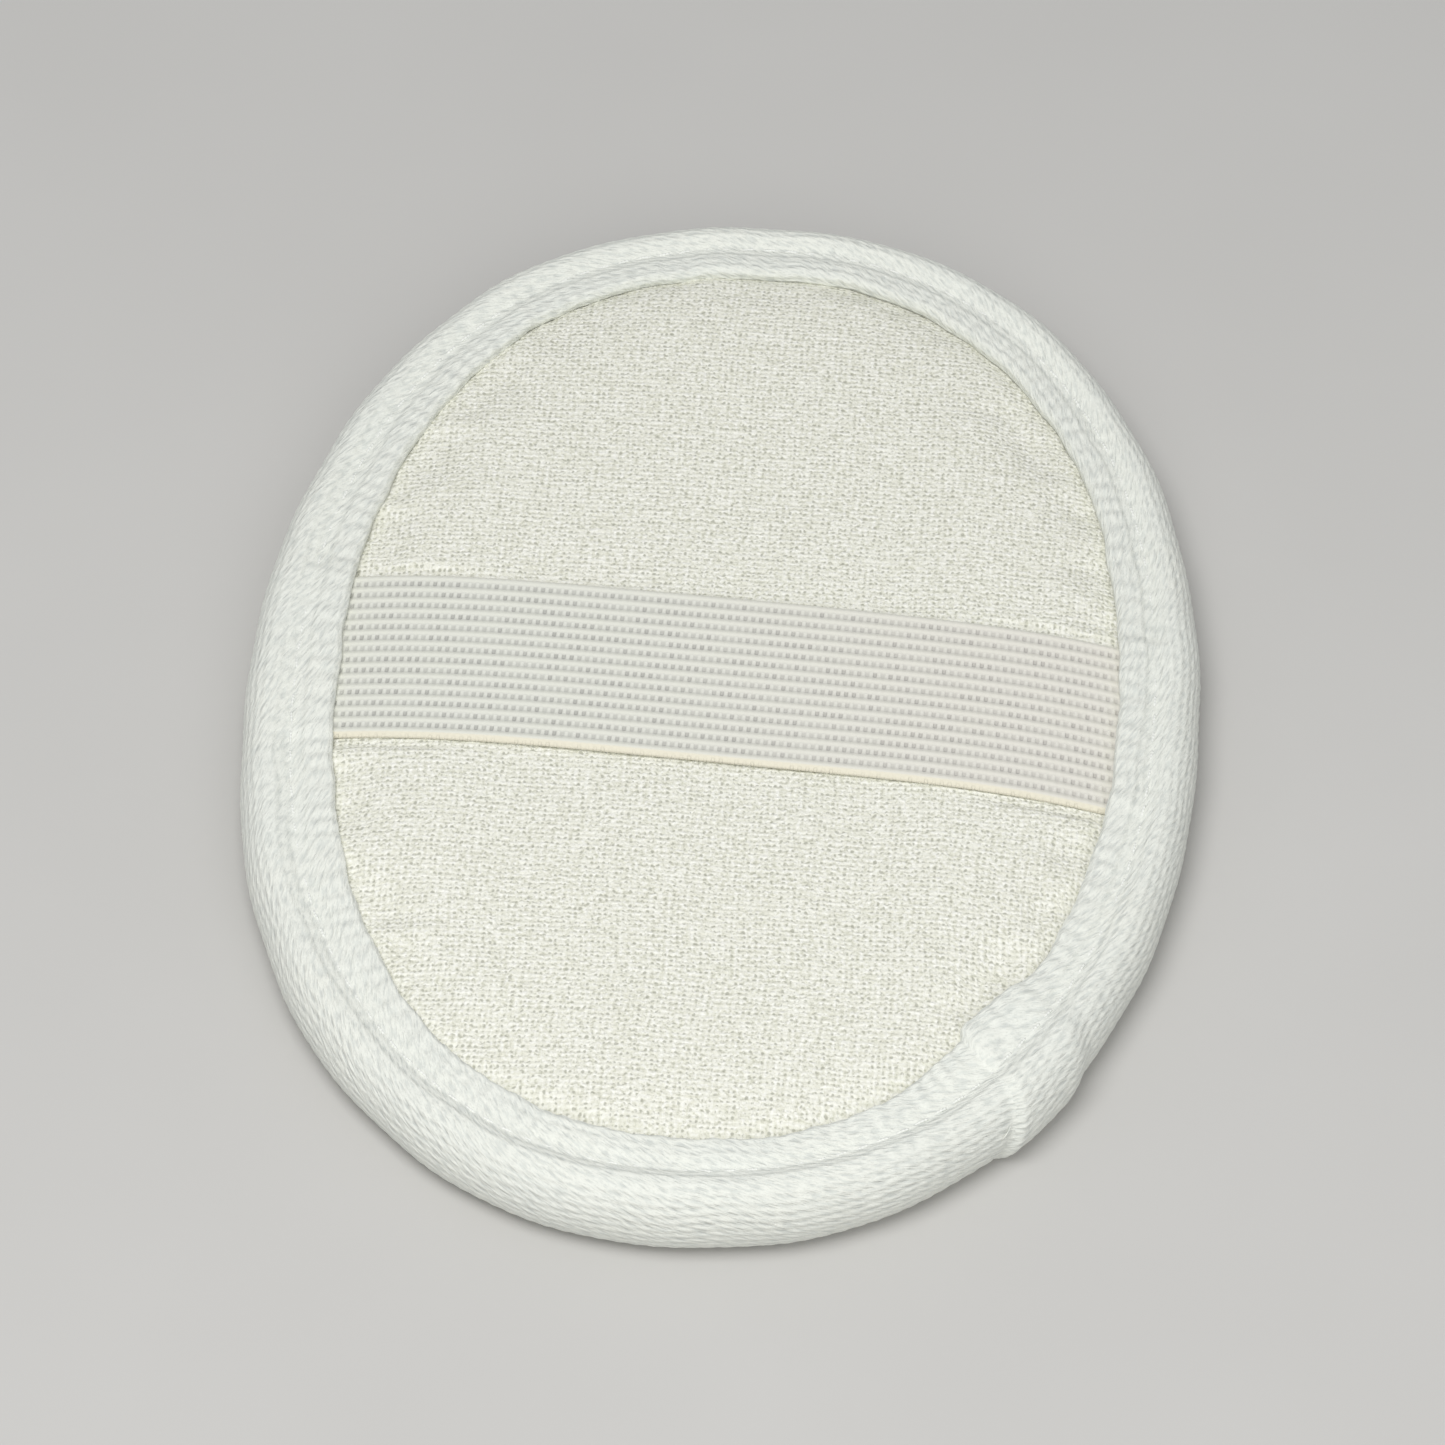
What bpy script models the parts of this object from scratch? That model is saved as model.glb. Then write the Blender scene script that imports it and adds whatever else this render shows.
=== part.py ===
"""Oval loofah hand pad with an elastic hand strap.

The pad lies flat, loofah down and strap up. +Z is up, the pad's long axis runs along Y and the
strap crosses it along X. The origin is the middle of the underside. All lengths are in metres.
"""
import math

import bmesh
import bpy
import numpy as np

# ---- the pad's outline, seen from above ----
PAD_WIDTH = 0.112
PAD_LENGTH = 0.154
OUTLINE_POWER = 2.18       # 2 is an ellipse; a little more is a slightly fuller oval
STATIONS = 96              # points round the outline
OUTLINE_SAMPLES = 4096     # fine points used to space the stations evenly
RIM_INSET = 0.016          # rings this near the edge are true offsets of the outline
CENTRE_INSET = 0.056       # the inset value that means the pad's centre

# ---- edge binding: a cotton tape folded over the rim ----
RIM_BOTTOM = 0.0002
RIM_TOP = 0.0110
TAPE_REACH = 0.0096        # how far the tape reaches in from the edge on the strap side
SOLE_REACH = 0.0076        # and on the loofah side
TAPE_WALL = 0.0015         # tape thickness round the outer edge
FLANGE_TOP = 0.0107        # the flat part of the tape inside the seam, on the strap side
FLANGE_FLOOR = 0.0088      # its underside
SOLE_TOP = 0.0021          # inner side of the tape on the loofah face
ROLL_INSET = 0.0042        # how far in the rolled outer edge reaches
ROLL_STEPS = 10            # spans round the rolled edge
SEAM_INSET = 0.0052        # the seam that holds everything together
SEAM_DEPTH = 0.0005        # how far the seam sinks into the tape on the strap side
SOLE_SEAM_DEPTH = 0.0009   # and on the loofah side
SEAM_HALF_WIDTH = 0.0007
CORNER = 0.0004            # softened corners of the tape's free edges

# ---- the tape's folded end, lapped over its beginning ----
LAP_START = 0.851          # as a share of the way round the outline
LAP_LENGTH = 0.015
LAP_EXTRA = 0.0009         # the lap stands this much above the rest of the tape
LAP_STEP = 0.0006          # length of the step up onto the lap

# ---- the layers inside the binding: heights at the rim and over the middle ----
LAYER_INSET = 0.0044       # the layers stop this far inside the pad's edge
LOOFAH_RIM = (0.0024, 0.0049)
LOOFAH_MIDDLE = (0.0, 0.0049)
FOAM_RIM = (0.0052, 0.0075)
FOAM_MIDDLE = (0.0052, 0.0096)
CLOTH_RIM = (0.0078, 0.0085)
CLOTH_MIDDLE = (0.0099, 0.0106)
# inset, and how far a layer's face has gone there from its rim height to its middle height
LOOFAH_SHAPE = (
    (0.0084, 0.00),
    (0.0100, 0.34),
    (0.0120, 0.68),
    (0.0150, 0.92),
    (0.0190, 1.00),
    (0.0280, 1.00),
    (0.0400, 1.00),
)
CLOTH_SHAPE = (
    (0.0110, 0.00),
    (0.0130, 0.15),
    (0.0155, 0.42),
    (0.0190, 0.72),
    (0.0240, 0.95),
    (0.0300, 1.00),
    (0.0400, 1.00),
)
EDGE_ROUND = 0.35          # rounding of a layer's edge, as a share of its thickness

# ---- hand strap: flat ribbed elastic, its ends sewn in under the tape ----
STRAP_WIDTH = 0.0255
STRAP_THICKNESS = 0.0008
STRAP_END = 0.0512         # half the strap's length, to the hidden ends
STRAP_SEAT = 0.0088        # underside height of the sewn ends
STRAP_CROWN = 0.0115       # underside height over the middle of the pad
STRAP_LEVEL_END = 0.0462   # the ends are level from here outwards
STRAP_LEVEL_MIDDLE = 0.033  # the middle is level inside this
STRAP_STEPS = 10           # spans along each sloping part
STRAP_SKEW = math.radians(-3.0)
STRAP_RIBS = 9
STRAP_RIB_DEPTH = 0.00012
STRAP_SLOT_GAP = 0.0003    # clearance of the strap's end in the binding

# ---- sewing thread ----
THREAD_RADIUS = 0.00022
THREAD_SIDES = 6
THREAD_LIFT = 0.0003       # clearance between the thread and the bottom of the seam

SMOOTH_ANGLE = math.radians(40.0)
ROUGHNESS = 0.9
COLOURS = {
    "loofah_face": (0.62, 0.52, 0.34),
    "foam_core": (0.86, 0.84, 0.78),
    "back_cloth": (0.80, 0.78, 0.68),
    "edge_binding": (0.86, 0.86, 0.84),
    "hand_strap": (0.80, 0.76, 0.71),
    "needle_thread": (0.88, 0.87, 0.83),
    "bobbin_thread": (0.88, 0.87, 0.83),
}


def clear_scene():
    """Remove every object the file starts with."""
    for obj in list(bpy.data.objects):
        bpy.data.objects.remove(obj, do_unlink=True)


def new_collection(name):
    """A collection for the pieces, or for the cutters."""
    collection = bpy.data.collections.new(name)
    bpy.context.scene.collection.children.link(collection)
    return collection


def new_material(name):
    """One plain Principled material per piece."""
    made = bpy.data.materials.new(name)
    made.use_nodes = True
    shader = made.node_tree.nodes["Principled BSDF"]
    shader.inputs["Base Color"].default_value = (*COLOURS[name], 1.0)
    shader.inputs["Roughness"].default_value = ROUGHNESS
    return made


def new_object(bm, name, collection):
    """Turn a closed bmesh into a smooth-shaded object with outward faces."""
    bmesh.ops.recalc_face_normals(bm, faces=bm.faces)
    if bm.calc_volume(signed=True) < 0.0:
        bmesh.ops.reverse_faces(bm, faces=bm.faces)
    mesh = bpy.data.meshes.new(name)
    bm.to_mesh(mesh)
    bm.free()
    mesh.shade_smooth()
    mesh.set_sharp_from_angle(angle=SMOOTH_ANGLE)
    obj = bpy.data.objects.new(name, mesh)
    collection.objects.link(obj)
    return obj


def signed_power(value, power):
    """Raise the size of each value to a power and keep its sign."""
    return np.sign(value) * np.abs(value) ** power


class Outline:
    """The pad's oval: points and outward normals at shares of the way round, from +X."""

    def __init__(self, shares):
        angle = np.linspace(0.0, 2.0 * math.pi, OUTLINE_SAMPLES + 1)
        half_w = 0.5 * PAD_WIDTH
        half_l = 0.5 * PAD_LENGTH
        x = half_w * signed_power(np.cos(angle), 2.0 / OUTLINE_POWER)
        y = half_l * signed_power(np.sin(angle), 2.0 / OUTLINE_POWER)
        steps = np.hypot(np.diff(x), np.diff(y))
        run = np.concatenate(([0.0], np.cumsum(steps)))
        self.length = run[-1]
        px = np.interp(np.asarray(shares) * self.length, run, x)
        py = np.interp(np.asarray(shares) * self.length, run, y)
        nx = signed_power(px / half_w, OUTLINE_POWER - 1.0) / half_w
        ny = signed_power(py / half_l, OUTLINE_POWER - 1.0) / half_l
        size = np.hypot(nx, ny)
        self.points = np.stack((px, py), axis=1)
        self.normals = np.stack((nx / size, ny / size), axis=1)

    def ring(self, inset):
        """The outline moved inwards: a true offset near the rim, shrinking to the centre beyond."""
        if inset <= RIM_INSET:
            return self.points - self.normals * inset
        share = (inset - RIM_INSET) / (CENTRE_INSET - RIM_INSET)
        return (self.points - self.normals * RIM_INSET) * (1.0 - share)


def bridge(bm, lower, upper):
    """Quads between two closed loops of the same length."""
    count = len(lower)
    for i in range(count):
        j = (i + 1) % count
        bm.faces.new((lower[i], lower[j], upper[j], upper[i]))


def fan(bm, loop, height):
    """Close a loop with triangles that meet over the pad's centre."""
    pole = bm.verts.new((0.0, 0.0, height))
    count = len(loop)
    for i in range(count):
        bm.faces.new((loop[i], loop[(i + 1) % count], pole))


def build_layer(name, rim, middle, shape, collection):
    """A padded layer: thin at the rim, full height over the middle, closed all round."""
    oval = Outline(np.arange(STATIONS) / STATIONS)
    depth = EDGE_ROUND * (rim[1] - rim[0])
    edge = [
        (LAYER_INSET + depth, rim[0]),
        (LAYER_INSET, rim[0] + depth),
        (LAYER_INSET, rim[1] - depth),
        (LAYER_INSET + depth, rim[1]),
    ]
    faces = []
    for side in (0, 1):
        rise = middle[side] - rim[side]
        faces.append([(inset, rim[side] + rise * share) for inset, share in shape])
    section = faces[0][::-1] + edge + faces[1]
    bm = bmesh.new()
    loops = []
    for inset, z in section:
        loops.append([bm.verts.new((x, y, z)) for x, y in oval.ring(inset)])
    for lower, upper in zip(loops, loops[1:]):
        bridge(bm, lower, upper)
    fan(bm, loops[0], middle[0])
    fan(bm, loops[-1], middle[1])
    return new_object(bm, name, collection)


def half_roll(inset, depth, low, high):
    """Half an ellipse bulging outwards from the given inset, from the low height to the high."""
    centre = 0.5 * (low + high)
    half = 0.5 * (high - low)
    angles = [math.pi * i / ROLL_STEPS for i in range(ROLL_STEPS + 1)]
    return [(inset - depth * math.sin(a), centre - half * math.cos(a)) for a in angles]


def tape_outer_skin():
    """The tape's outside as (inset, height), from its free edge below to its free edge above."""
    skin = [(SOLE_REACH, RIM_BOTTOM + CORNER), (SOLE_REACH - CORNER, RIM_BOTTOM)]
    skin.append((SEAM_INSET + SEAM_HALF_WIDTH, RIM_BOTTOM))
    skin.append((SEAM_INSET, RIM_BOTTOM + SOLE_SEAM_DEPTH))
    skin += half_roll(ROLL_INSET, ROLL_INSET, RIM_BOTTOM, RIM_TOP)
    skin.append((SEAM_INSET, FLANGE_TOP - SEAM_DEPTH))
    skin.append((SEAM_INSET + SEAM_HALF_WIDTH, FLANGE_TOP))
    skin += [(TAPE_REACH - CORNER, FLANGE_TOP), (TAPE_REACH, FLANGE_TOP - CORNER)]
    return skin


def tape_inner_skin():
    """The tape's inside as (inset, height), from its free edge above to its free edge below."""
    skin = [(SOLE_REACH, SOLE_TOP)]
    skin += half_roll(ROLL_INSET, ROLL_INSET - TAPE_WALL, SOLE_TOP, FLANGE_FLOOR)
    skin.append((TAPE_REACH, FLANGE_FLOOR))
    return skin[::-1]


def lap_stations():
    """Shares of the way round for the binding, with close pairs at the lap's two steps."""
    length = Outline([0.0]).length
    stop = LAP_START + LAP_LENGTH / length
    step = LAP_STEP / length
    marks = [LAP_START - step, LAP_START, stop, stop + step]
    even = [i / STATIONS for i in range(STATIONS)]
    kept = [share for share in even if min(abs(share - mark) for mark in marks) > 2.0 * step]
    shares = np.array(sorted(kept + marks))
    on_lap = (shares >= LAP_START) & (shares <= stop)
    return shares, on_lap


def lap_shift(inset, z):
    """How far a point of the tape's outer skin moves outwards and upwards where the tape laps."""
    middle = 0.5 * (RIM_BOTTOM + RIM_TOP)
    swell = LAP_EXTRA * (1.0 - inset / TAPE_REACH)
    rise = LAP_EXTRA * max(0.0, (z - middle) / (RIM_TOP - middle))
    return swell, rise


def lapped_loop(bm, oval, on_lap, inset, z, shift):
    """A loop of vertices at one inset and height, moved by the shift where the tape laps."""
    swell, rise = shift
    loop = []
    for (x, y), (nx, ny), lapped in zip(oval.ring(inset), oval.normals, on_lap):
        loop.append(bm.verts.new((x + nx * swell * lapped, y + ny * swell * lapped, z + rise * lapped)))
    return loop


def build_binding(collection):
    """The folded tape all round the rim, with its end lapped over its beginning."""
    shares, on_lap = lap_stations()
    oval = Outline(shares)
    bm = bmesh.new()
    loops = []
    for inset, z in tape_outer_skin():
        loops.append(lapped_loop(bm, oval, on_lap, inset, z, lap_shift(inset, z)))
    for inset, z in tape_inner_skin():
        loops.append(lapped_loop(bm, oval, on_lap, inset, z, (0.0, 0.0)))
    for lower, upper in zip(loops, loops[1:] + loops[:1]):
        bridge(bm, lower, upper)
    return new_object(bm, "edge_binding", collection)


def strap_height(x):
    """Underside height of the strap at a distance x along it from the middle."""
    away = min(max((abs(x) - STRAP_LEVEL_MIDDLE) / (STRAP_LEVEL_END - STRAP_LEVEL_MIDDLE), 0.0), 1.0)
    ease = away * away * (3.0 - 2.0 * away)
    return STRAP_CROWN + (STRAP_SEAT - STRAP_CROWN) * ease


def strap_positions():
    """Where the strap's cross-sections stand, end to end."""
    slope = np.linspace(STRAP_LEVEL_MIDDLE, STRAP_LEVEL_END, STRAP_STEPS + 1)
    half = [0.5 * STRAP_LEVEL_MIDDLE, *slope, STRAP_END]
    return [-x for x in reversed(half)] + [0.0] + half


def strap_section():
    """The strap's cross-section as (y, height above its underside): flat below, ribbed above."""
    half = 0.5 * STRAP_WIDTH
    pitch = STRAP_WIDTH / STRAP_RIBS
    upper = []
    for rib in range(STRAP_RIBS):
        start = half - rib * pitch
        upper.append((start, STRAP_THICKNESS - STRAP_RIB_DEPTH))
        upper.append((start - 0.25 * pitch, STRAP_THICKNESS))
        upper.append((start - 0.75 * pitch, STRAP_THICKNESS))
    upper.append((-half, STRAP_THICKNESS - STRAP_RIB_DEPTH))
    return [(-half, 0.0), (half, 0.0)] + upper


def build_strap(collection):
    """The elastic strap: one flat band arched over the back cloth."""
    bm = bmesh.new()
    loops = []
    section = strap_section()
    for x in strap_positions():
        base = strap_height(x)
        loops.append([bm.verts.new((x, y, base + z)) for y, z in section])
    for lower, upper in zip(loops, loops[1:]):
        bridge(bm, lower, upper)
    bm.faces.new(loops[0])
    bm.faces.new(loops[-1])
    obj = new_object(bm, "hand_strap", collection)
    turn_about_z(obj, STRAP_SKEW)
    return obj


def turn_about_z(obj, angle):
    """Turn a mesh about the vertical through the pad's centre."""
    cos_a = math.cos(angle)
    sin_a = math.sin(angle)
    for vertex in obj.data.vertices:
        x, y, z = vertex.co
        vertex.co = (x * cos_a - y * sin_a, x * sin_a + y * cos_a, z)


def cut_strap_slots(binding, cutters):
    """Cut the pockets under the tape that take the strap's two ends."""
    low = FLANGE_FLOOR - STRAP_SLOT_GAP
    high = STRAP_SEAT + STRAP_THICKNESS + STRAP_SLOT_GAP
    size = (2.0 * (STRAP_END + STRAP_SLOT_GAP), STRAP_WIDTH + 2.0 * STRAP_SLOT_GAP, high - low)
    bm = bmesh.new()
    bmesh.ops.create_cube(bm, size=1.0)
    bmesh.ops.scale(bm, vec=size, verts=bm.verts)
    bmesh.ops.translate(bm, vec=(0.0, 0.0, 0.5 * (low + high)), verts=bm.verts)
    cutter = new_object(bm, "strap_slot_cutter", cutters)
    turn_about_z(cutter, STRAP_SKEW)
    cutter.display_type = "WIRE"
    cutter.hide_render = True
    slots = binding.modifiers.new("strap_slots", "BOOLEAN")
    slots.operation = "DIFFERENCE"
    slots.solver = "EXACT"
    slots.object = cutter


def build_thread(name, seam_floor, side, collection):
    """One of the seam's two threads: a thin ring lying in the seam's groove."""
    centre = seam_floor + side * (THREAD_RADIUS + THREAD_LIFT)
    shift = lap_shift(SEAM_INSET, seam_floor)
    shares, on_lap = lap_stations()
    oval = Outline(shares)
    bm = bmesh.new()
    loops = []
    for i in range(THREAD_SIDES):
        angle = 2.0 * math.pi * i / THREAD_SIDES
        inset = SEAM_INSET + THREAD_RADIUS * math.cos(angle)
        z = centre + THREAD_RADIUS * math.sin(angle)
        loops.append(lapped_loop(bm, oval, on_lap, inset, z, shift))
    for lower, upper in zip(loops, loops[1:] + loops[:1]):
        bridge(bm, lower, upper)
    return new_object(bm, name, collection)


def main():
    """Build every piece of the pad."""
    clear_scene()
    pieces = new_collection("loofah_hand_pad")
    cutters = new_collection("cutters")
    cutters.hide_render = True
    build_layer("loofah_face", LOOFAH_RIM, LOOFAH_MIDDLE, LOOFAH_SHAPE, pieces)
    build_layer("foam_core", FOAM_RIM, FOAM_MIDDLE, CLOTH_SHAPE, pieces)
    build_layer("back_cloth", CLOTH_RIM, CLOTH_MIDDLE, CLOTH_SHAPE, pieces)
    binding = build_binding(pieces)
    cut_strap_slots(binding, cutters)
    build_strap(pieces)
    build_thread("needle_thread", FLANGE_TOP - SEAM_DEPTH, 1.0, pieces)
    build_thread("bobbin_thread", RIM_BOTTOM + SOLE_SEAM_DEPTH, -1.0, pieces)
    for obj in pieces.objects:
        obj.data.materials.append(new_material(obj.name))


main()
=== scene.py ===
"""Looks of an oval loofah hand pad with an elastic hand strap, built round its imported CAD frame.

The pad lies loofah down and strap up: +Z is up, the pad is longest along Y and the strap crosses it along X.
Lengths are in metres. UV maps are in millimetres on the real surface, so patterns have their real size.
An inset is a distance inwards from the pad's outline, and a share is a fraction of the way along something.
"""
import math

import bmesh
import bpy
import numpy as np
from mathutils import Matrix, Vector, noise


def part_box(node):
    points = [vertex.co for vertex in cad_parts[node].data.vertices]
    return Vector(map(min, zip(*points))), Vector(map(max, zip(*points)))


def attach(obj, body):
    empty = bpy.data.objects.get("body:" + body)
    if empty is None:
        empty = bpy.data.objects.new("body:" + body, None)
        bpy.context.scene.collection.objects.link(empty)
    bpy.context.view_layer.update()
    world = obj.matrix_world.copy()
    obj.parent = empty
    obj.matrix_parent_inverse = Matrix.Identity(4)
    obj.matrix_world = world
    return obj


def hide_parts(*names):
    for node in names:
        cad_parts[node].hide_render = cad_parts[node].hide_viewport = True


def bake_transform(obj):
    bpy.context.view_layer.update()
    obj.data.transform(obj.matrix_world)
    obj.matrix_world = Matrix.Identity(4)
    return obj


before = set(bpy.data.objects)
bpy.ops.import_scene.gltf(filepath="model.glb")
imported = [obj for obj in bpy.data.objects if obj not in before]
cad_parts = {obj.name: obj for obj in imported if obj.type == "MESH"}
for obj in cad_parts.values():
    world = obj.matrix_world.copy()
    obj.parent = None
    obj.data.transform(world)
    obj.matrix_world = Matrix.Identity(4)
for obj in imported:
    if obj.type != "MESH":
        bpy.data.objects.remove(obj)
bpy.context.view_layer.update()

MM = 0.001
TAU = 2.0 * math.pi

# ---- places taken from the frame ----
tape_low, tape_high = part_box("edge_binding")
_, cloth_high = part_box("back_cloth")
HALF_WIDTH = 0.5 * (tape_high.x - tape_low.x)
HALF_LENGTH = 0.5 * (tape_high.y - tape_low.y)
CLOTH_CROWN = cloth_high.z - 0.4 * MM    # the swelling adds up to 1 mm

# ---- the pad's outline ----
OUTLINE_POWER = 2.18
OUTLINE_SAMPLES = 8192
RIM_INSET = 16.0 * MM       # insets up to this follow the rim, and deeper ones close on the centre
WOBBLE = 0.16 * MM          # hand-sewn unevenness of the outline

# ---- binding tape ----
RIM_BOTTOM = 0.2 * MM
RIM_TOP = 11.0 * MM
RIM_MIDDLE = 0.5 * (RIM_BOTTOM + RIM_TOP)
TAPE_REACH = 9.6 * MM
SOLE_REACH = 7.6 * MM
TAPE_WALL = 1.5 * MM
FLANGE_TOP = 10.7 * MM
FLANGE_FLOOR = 8.9 * MM
SOLE_TOP = 2.1 * MM
ROLL_INSET = 3.5 * MM
SEAM_INSET = 5.3 * MM
TAPE_STATION = 0.48 * MM
RIDGE_PITCH = 1.12 * MM
RIDGE_HEIGHT = 0.085 * MM
RIDGE_POINTS = 4            # mesh points across each ridge
DASHES = 196                # the knit's slanting stitches along a ridge, all the way round
DASH_SLANT = 0.85           # how far a stitch leans from one ridge to the next
LAP_START = 0.851           # as a share of the way round
LAP_LENGTH = 15.0 * MM
LAP_EXTRA = 0.95 * MM
LAP_SLANT = 7.0 * MM
LAP_TURN = 3.0              # ridges that the lapped end leans across, whole so that they meet at the fold
LAP_SPREAD = 1.7 * MM       # how much wider the tape lies near its lap
SIDE_SPREAD = 1.5 * MM      # and along the left side
SIDE_PLACE = 0.55           # as a share of the way round
SIDE_RUN = 60.0 * MM
STITCH_PITCH = 2.9 * MM
STITCH_LENGTH = 2.3 * MM
STITCH_RADIUS = 0.15 * MM
STITCH_POINTS = 7
NEEDLE_HEIGHT = FLANGE_TOP - 0.64 * MM
BOBBIN_HEIGHT = RIM_BOTTOM + 0.18 * MM
SEAM_SHARE = 0.82           # the seam's place along the tape's folded section
STRAP_HUMP = 0.45 * MM      # how much the strap's ends lift the tape over them
STITCH_HUMP = 0.42 * MM     # and the stitches
FRAY_COUNT = 9
FRAY_POINTS = 9
FRAY_RADIUS = 0.075 * MM

# ---- back cloth ----
YARN_PITCH = 0.69 * MM
YARN_RELIEF = 0.10 * MM
CLOTH_RIM_TOP = 8.5 * MM
CLOTH_FLOOR = 7.85 * MM
CLOTH_EDGE_INSET = 7.3 * MM
STRAP_CLEARANCE = 0.15 * MM
SWELL_GRID = 2.2 * MM       # mesh size of the simulated cloth
SWELL_FRAMES = 20
SWELL_MOST = 1.05 * MM      # the simulated rise is held under this
SWELL_EASY = 0.5 * MM       # and a rise of this much comes out as half of it
SWELL_DIP = 0.3 * MM        # the deepest dip

# ---- hand strap ----
STRAP_SKEW = math.radians(-3.0)
STRAP_WIDTH = 25.5 * MM
STRAP_RIBS = 15
STRAP_END = 51.2 * MM
STRAP_SEAT = 8.8 * MM
STRAP_CROWN = 11.5 * MM
STRAP_THICKNESS = 0.6 * MM
STRAP_LEVEL_END = 46.2 * MM
STRAP_ARCH = 4.0            # how late the strap turns down towards its ends
STRAP_STEP = 0.2 * MM
STRAP_RELIEF = 0.17 * MM
STRAP_TICK = 0.92 * MM
STRAP_POINTS_PER_RIB = 8

# ---- loofah and wadding ----
LOOFAH_TOP = 4.9 * MM
LOOFAH_FACE = 0.8 * MM
LOOFAH_EDGE_INSET = 5.0 * MM
FIBRE_COUNT = 13200
FIBRE_POINTS = 3
FIBRE_HEADING = 1.05        # the fibres' shared direction, in radians from X
FOAM_FLOOR = 5.0 * MM
FOAM_EDGE_INSET = 6.0 * MM


# ---------------------------------------------------------------- shapes

def ease(value):
    """Smooth step from 0 to 1."""
    held = np.clip(value, 0.0, 1.0)
    return held * held * (3.0 - 2.0 * held)


def signed_power(value, power):
    """Raises the size of each value to a power and keeps its sign."""
    return np.sign(value) * np.abs(value) ** power


def wander(shares, seed, waves):
    """Smooth seeded unevenness round a closed loop, about -1 to 1; waves lists its swings per turn."""
    draw = np.random.RandomState(seed)
    total = np.zeros_like(shares)
    for wave in waves:
        total = total + draw.uniform(0.5, 1.0) * np.sin(TAU * wave * shares + draw.uniform(0.0, TAU))
    return total / math.sqrt(0.6 * len(waves))


def inset_at(x, y):
    """How far inside the pad's outline a point is."""
    share = (np.abs(x / HALF_WIDTH) ** OUTLINE_POWER + np.abs(y / HALF_LENGTH) ** OUTLINE_POWER)
    share = np.maximum(share, 1e-9) ** (1.0 / OUTLINE_POWER)
    slope_x = np.abs(x / HALF_WIDTH / share) ** (OUTLINE_POWER - 1.0) / HALF_WIDTH
    slope_y = np.abs(y / HALF_LENGTH / share) ** (OUTLINE_POWER - 1.0) / HALF_LENGTH
    return (1.0 - share) / np.hypot(slope_x, slope_y)


def turned(x, y):
    """A point's distances along and across the skewed strap."""
    along = x * math.cos(STRAP_SKEW) + y * math.sin(STRAP_SKEW)
    across = -x * math.sin(STRAP_SKEW) + y * math.cos(STRAP_SKEW)
    return along, across


class Outline:
    """The pad's oval at shares of the way round from +X, counter-clockwise, with its outward normals."""

    def __init__(self, shares):
        angle = np.linspace(0.0, TAU, OUTLINE_SAMPLES + 1)
        x = HALF_WIDTH * signed_power(np.cos(angle), 2.0 / OUTLINE_POWER)
        y = HALF_LENGTH * signed_power(np.sin(angle), 2.0 / OUTLINE_POWER)
        run = np.concatenate(([0.0], np.cumsum(np.hypot(np.diff(x), np.diff(y)))))
        self.length = run[-1]
        self.shares = np.asarray(shares, float)
        at_x = np.interp(self.shares * self.length, run, x)
        at_y = np.interp(self.shares * self.length, run, y)
        out_x = signed_power(at_x / HALF_WIDTH, OUTLINE_POWER - 1.0) / HALF_WIDTH
        out_y = signed_power(at_y / HALF_LENGTH, OUTLINE_POWER - 1.0) / HALF_LENGTH
        size = np.hypot(out_x, out_y)
        self.normals = np.stack((out_x / size, out_y / size), axis=1)
        wobble = WOBBLE * (wander(self.shares, 11, (2, 3, 5, 8)) - 0.6)
        self.points = np.stack((at_x, at_y), axis=1) + self.normals * wobble[:, None]

    def at(self, inset):
        """Points at an inset, which is a number or one value for each station."""
        inset = np.broadcast_to(np.asarray(inset, float), self.shares.shape)
        near = np.minimum(inset, RIM_INSET)
        share = (inset - near) / (HALF_WIDTH - RIM_INSET)
        return (self.points - self.normals * near[:, None]) * (1.0 - share)[:, None]


TAPE_LENGTH = Outline([0.0]).length
STROKE_TURN = math.radians(22.0)    # lean of the knit's strokes off the tape's own direction


def new_object(name, verts, faces, uvs=None):
    """A smooth mesh object; uvs, in millimetres, holds one pair for each corner of each face."""
    mesh = bpy.data.meshes.new(name)
    mesh.from_pydata(np.asarray(verts, float).tolist(), [], [tuple(face) for face in faces])
    if uvs is not None:
        mesh.uv_layers.new(name="UVMap").data.foreach_set("uv", np.asarray(uvs, np.float32).ravel())
    mesh.shade_smooth()
    mesh.update()
    obj = bpy.data.objects.new(name, mesh)
    bpy.context.scene.collection.objects.link(obj)
    return obj


def grid_quads(rows, cols, wrap_rows, wrap_cols):
    """Corner indices of a grid's quads, and each corner's unwrapped (row, column)."""
    row = np.arange(rows if wrap_rows else rows - 1)
    col = np.arange(cols if wrap_cols else cols - 1)
    row, col = np.meshgrid(row, col, indexing="ij")
    corners = [(row, col), (row + 1, col), (row + 1, col + 1), (row, col + 1)]
    quads = np.stack([(a % rows) * cols + b % cols for a, b in corners], axis=-1).reshape(-1, 4)
    places = np.stack([np.stack(corner, axis=-1) for corner in corners], axis=-2).reshape(-1, 2)
    return quads, places


def face_outwards(obj):
    """Turns every face of a closed mesh outwards."""
    mesh = bmesh.new()
    mesh.from_mesh(obj.data)
    bmesh.ops.recalc_face_normals(mesh, faces=mesh.faces)
    mesh.to_mesh(obj.data)
    mesh.free()


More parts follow.
